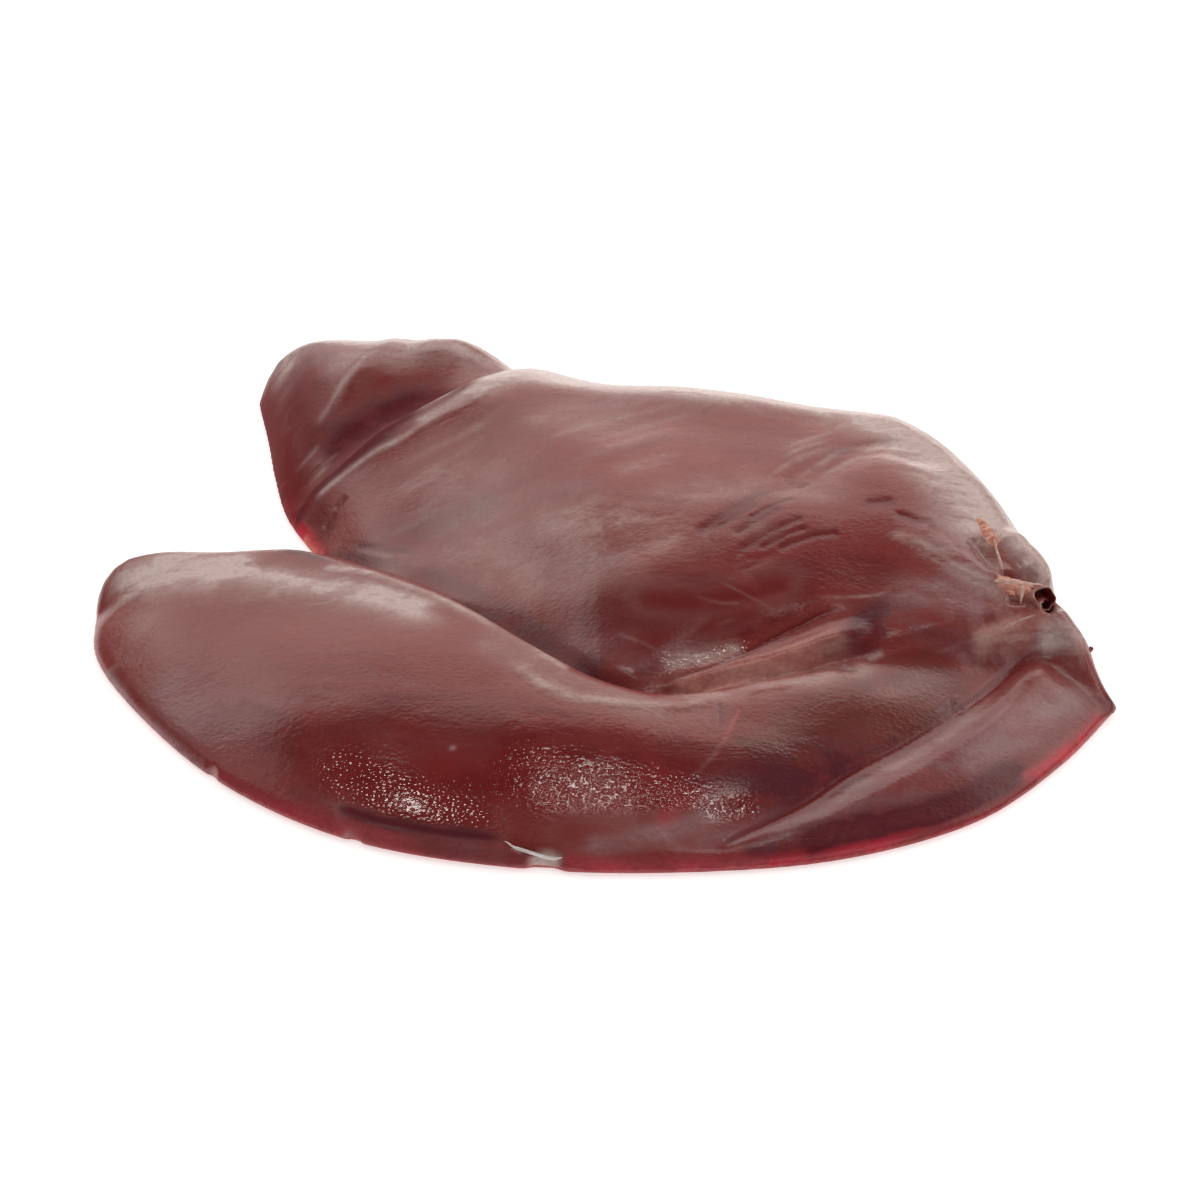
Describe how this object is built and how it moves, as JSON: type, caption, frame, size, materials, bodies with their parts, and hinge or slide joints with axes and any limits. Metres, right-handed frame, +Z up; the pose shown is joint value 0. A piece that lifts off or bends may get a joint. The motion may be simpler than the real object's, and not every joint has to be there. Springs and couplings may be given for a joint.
{
  "type": "buffalo liver",
  "caption": "Whole fresh buffalo liver lying flat, two dark red lobes spreading from the hilum, with a long fissure, a folded flap and a thin front margin.",
  "frame": {"origin": "centre of the footprint, on the plane that the liver rests on", "axes": "+Z up, +X along the long side towards the hilum end, -Y towards the thin front margin"},
  "size_m": [0.4357, 0.3956, 0.0592],
  "materials": {
    "liver": "wet, glossy capsule with a fine leathery grain over dark red-brown flesh"
  },
  "bodies": {
    "root": {"liver": "liver"}
  },
  "joints": []
}
